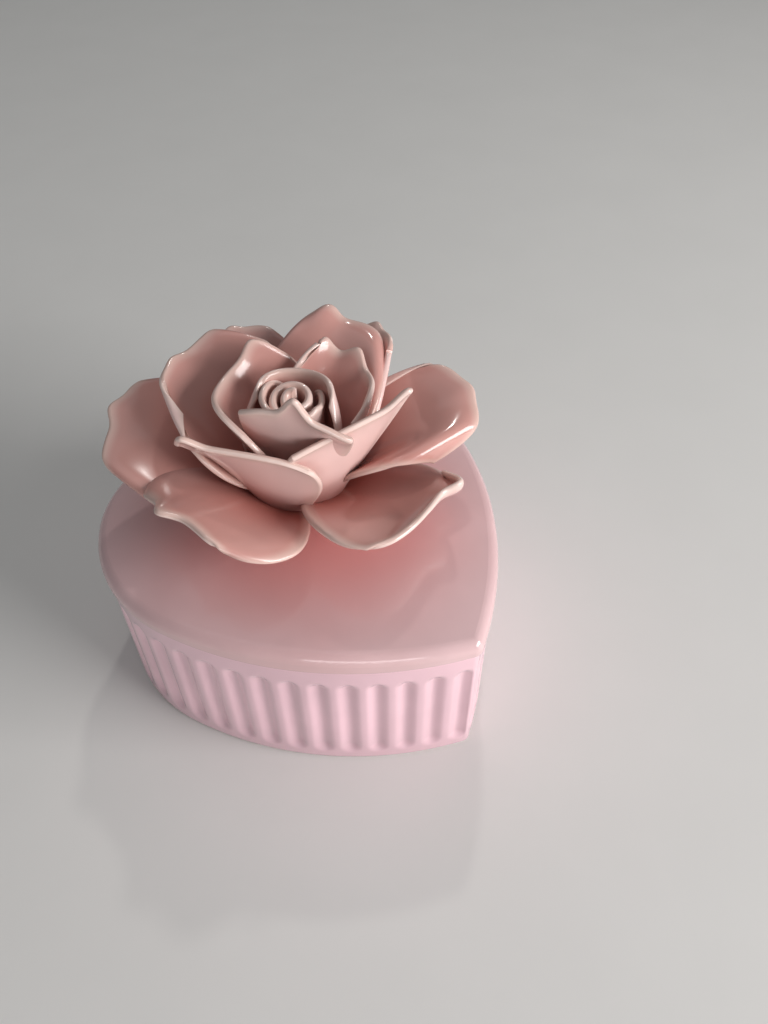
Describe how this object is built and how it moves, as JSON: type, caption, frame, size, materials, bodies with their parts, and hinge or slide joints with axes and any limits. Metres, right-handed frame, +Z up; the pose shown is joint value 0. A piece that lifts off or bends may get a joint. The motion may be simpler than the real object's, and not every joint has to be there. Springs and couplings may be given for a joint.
{
  "type": "heart-shaped trinket box",
  "caption": "Heart-shaped glazed ceramic trinket box with fluted walls and a lift-off lid that carries an open rose of hand-formed petals.",
  "frame": {"origin": "under the middle of the heart's outline, on the surface that the box stands on", "axes": "+Z up; the tip of the heart points along -Y and the notch between its lobes along +Y; +X to the right of the tip-to-notch line"},
  "size_m": [0.1, 0.1018, 0.0894],
  "materials": {
    "base_glaze": "gloss",
    "lid_glaze": "gloss",
    "petal_glaze": "gloss"
  },
  "bodies": {
    "box": {"box_base": "base_glaze"},
    "lid": {"bud_core": "petal_glaze", "bud_petal_back": "petal_glaze", "bud_petal_front": "petal_glaze", "bud_petal_left": "petal_glaze", "flower_pad": "petal_glaze", "inner_petal_front": "petal_glaze", "inner_petal_left": "petal_glaze", "inner_petal_right": "petal_glaze", "lid": "lid_glaze", "middle_petal_back": "petal_glaze", "middle_petal_front": "petal_glaze", "middle_petal_left": "petal_glaze", "middle_petal_right": "petal_glaze", "outer_petal_back_left": "petal_glaze", "outer_petal_back_right": "petal_glaze", "outer_petal_front": "petal_glaze", "outer_petal_left": "petal_glaze", "outer_petal_right": "petal_glaze", "outer_petal_right_front": "petal_glaze"}
  },
  "joints": [
    {"name": "lid_lift", "type": "slide", "parent": "box", "child": "lid", "axis": [0, 0, 1], "range_m": [0, 0.05]}
  ]
}
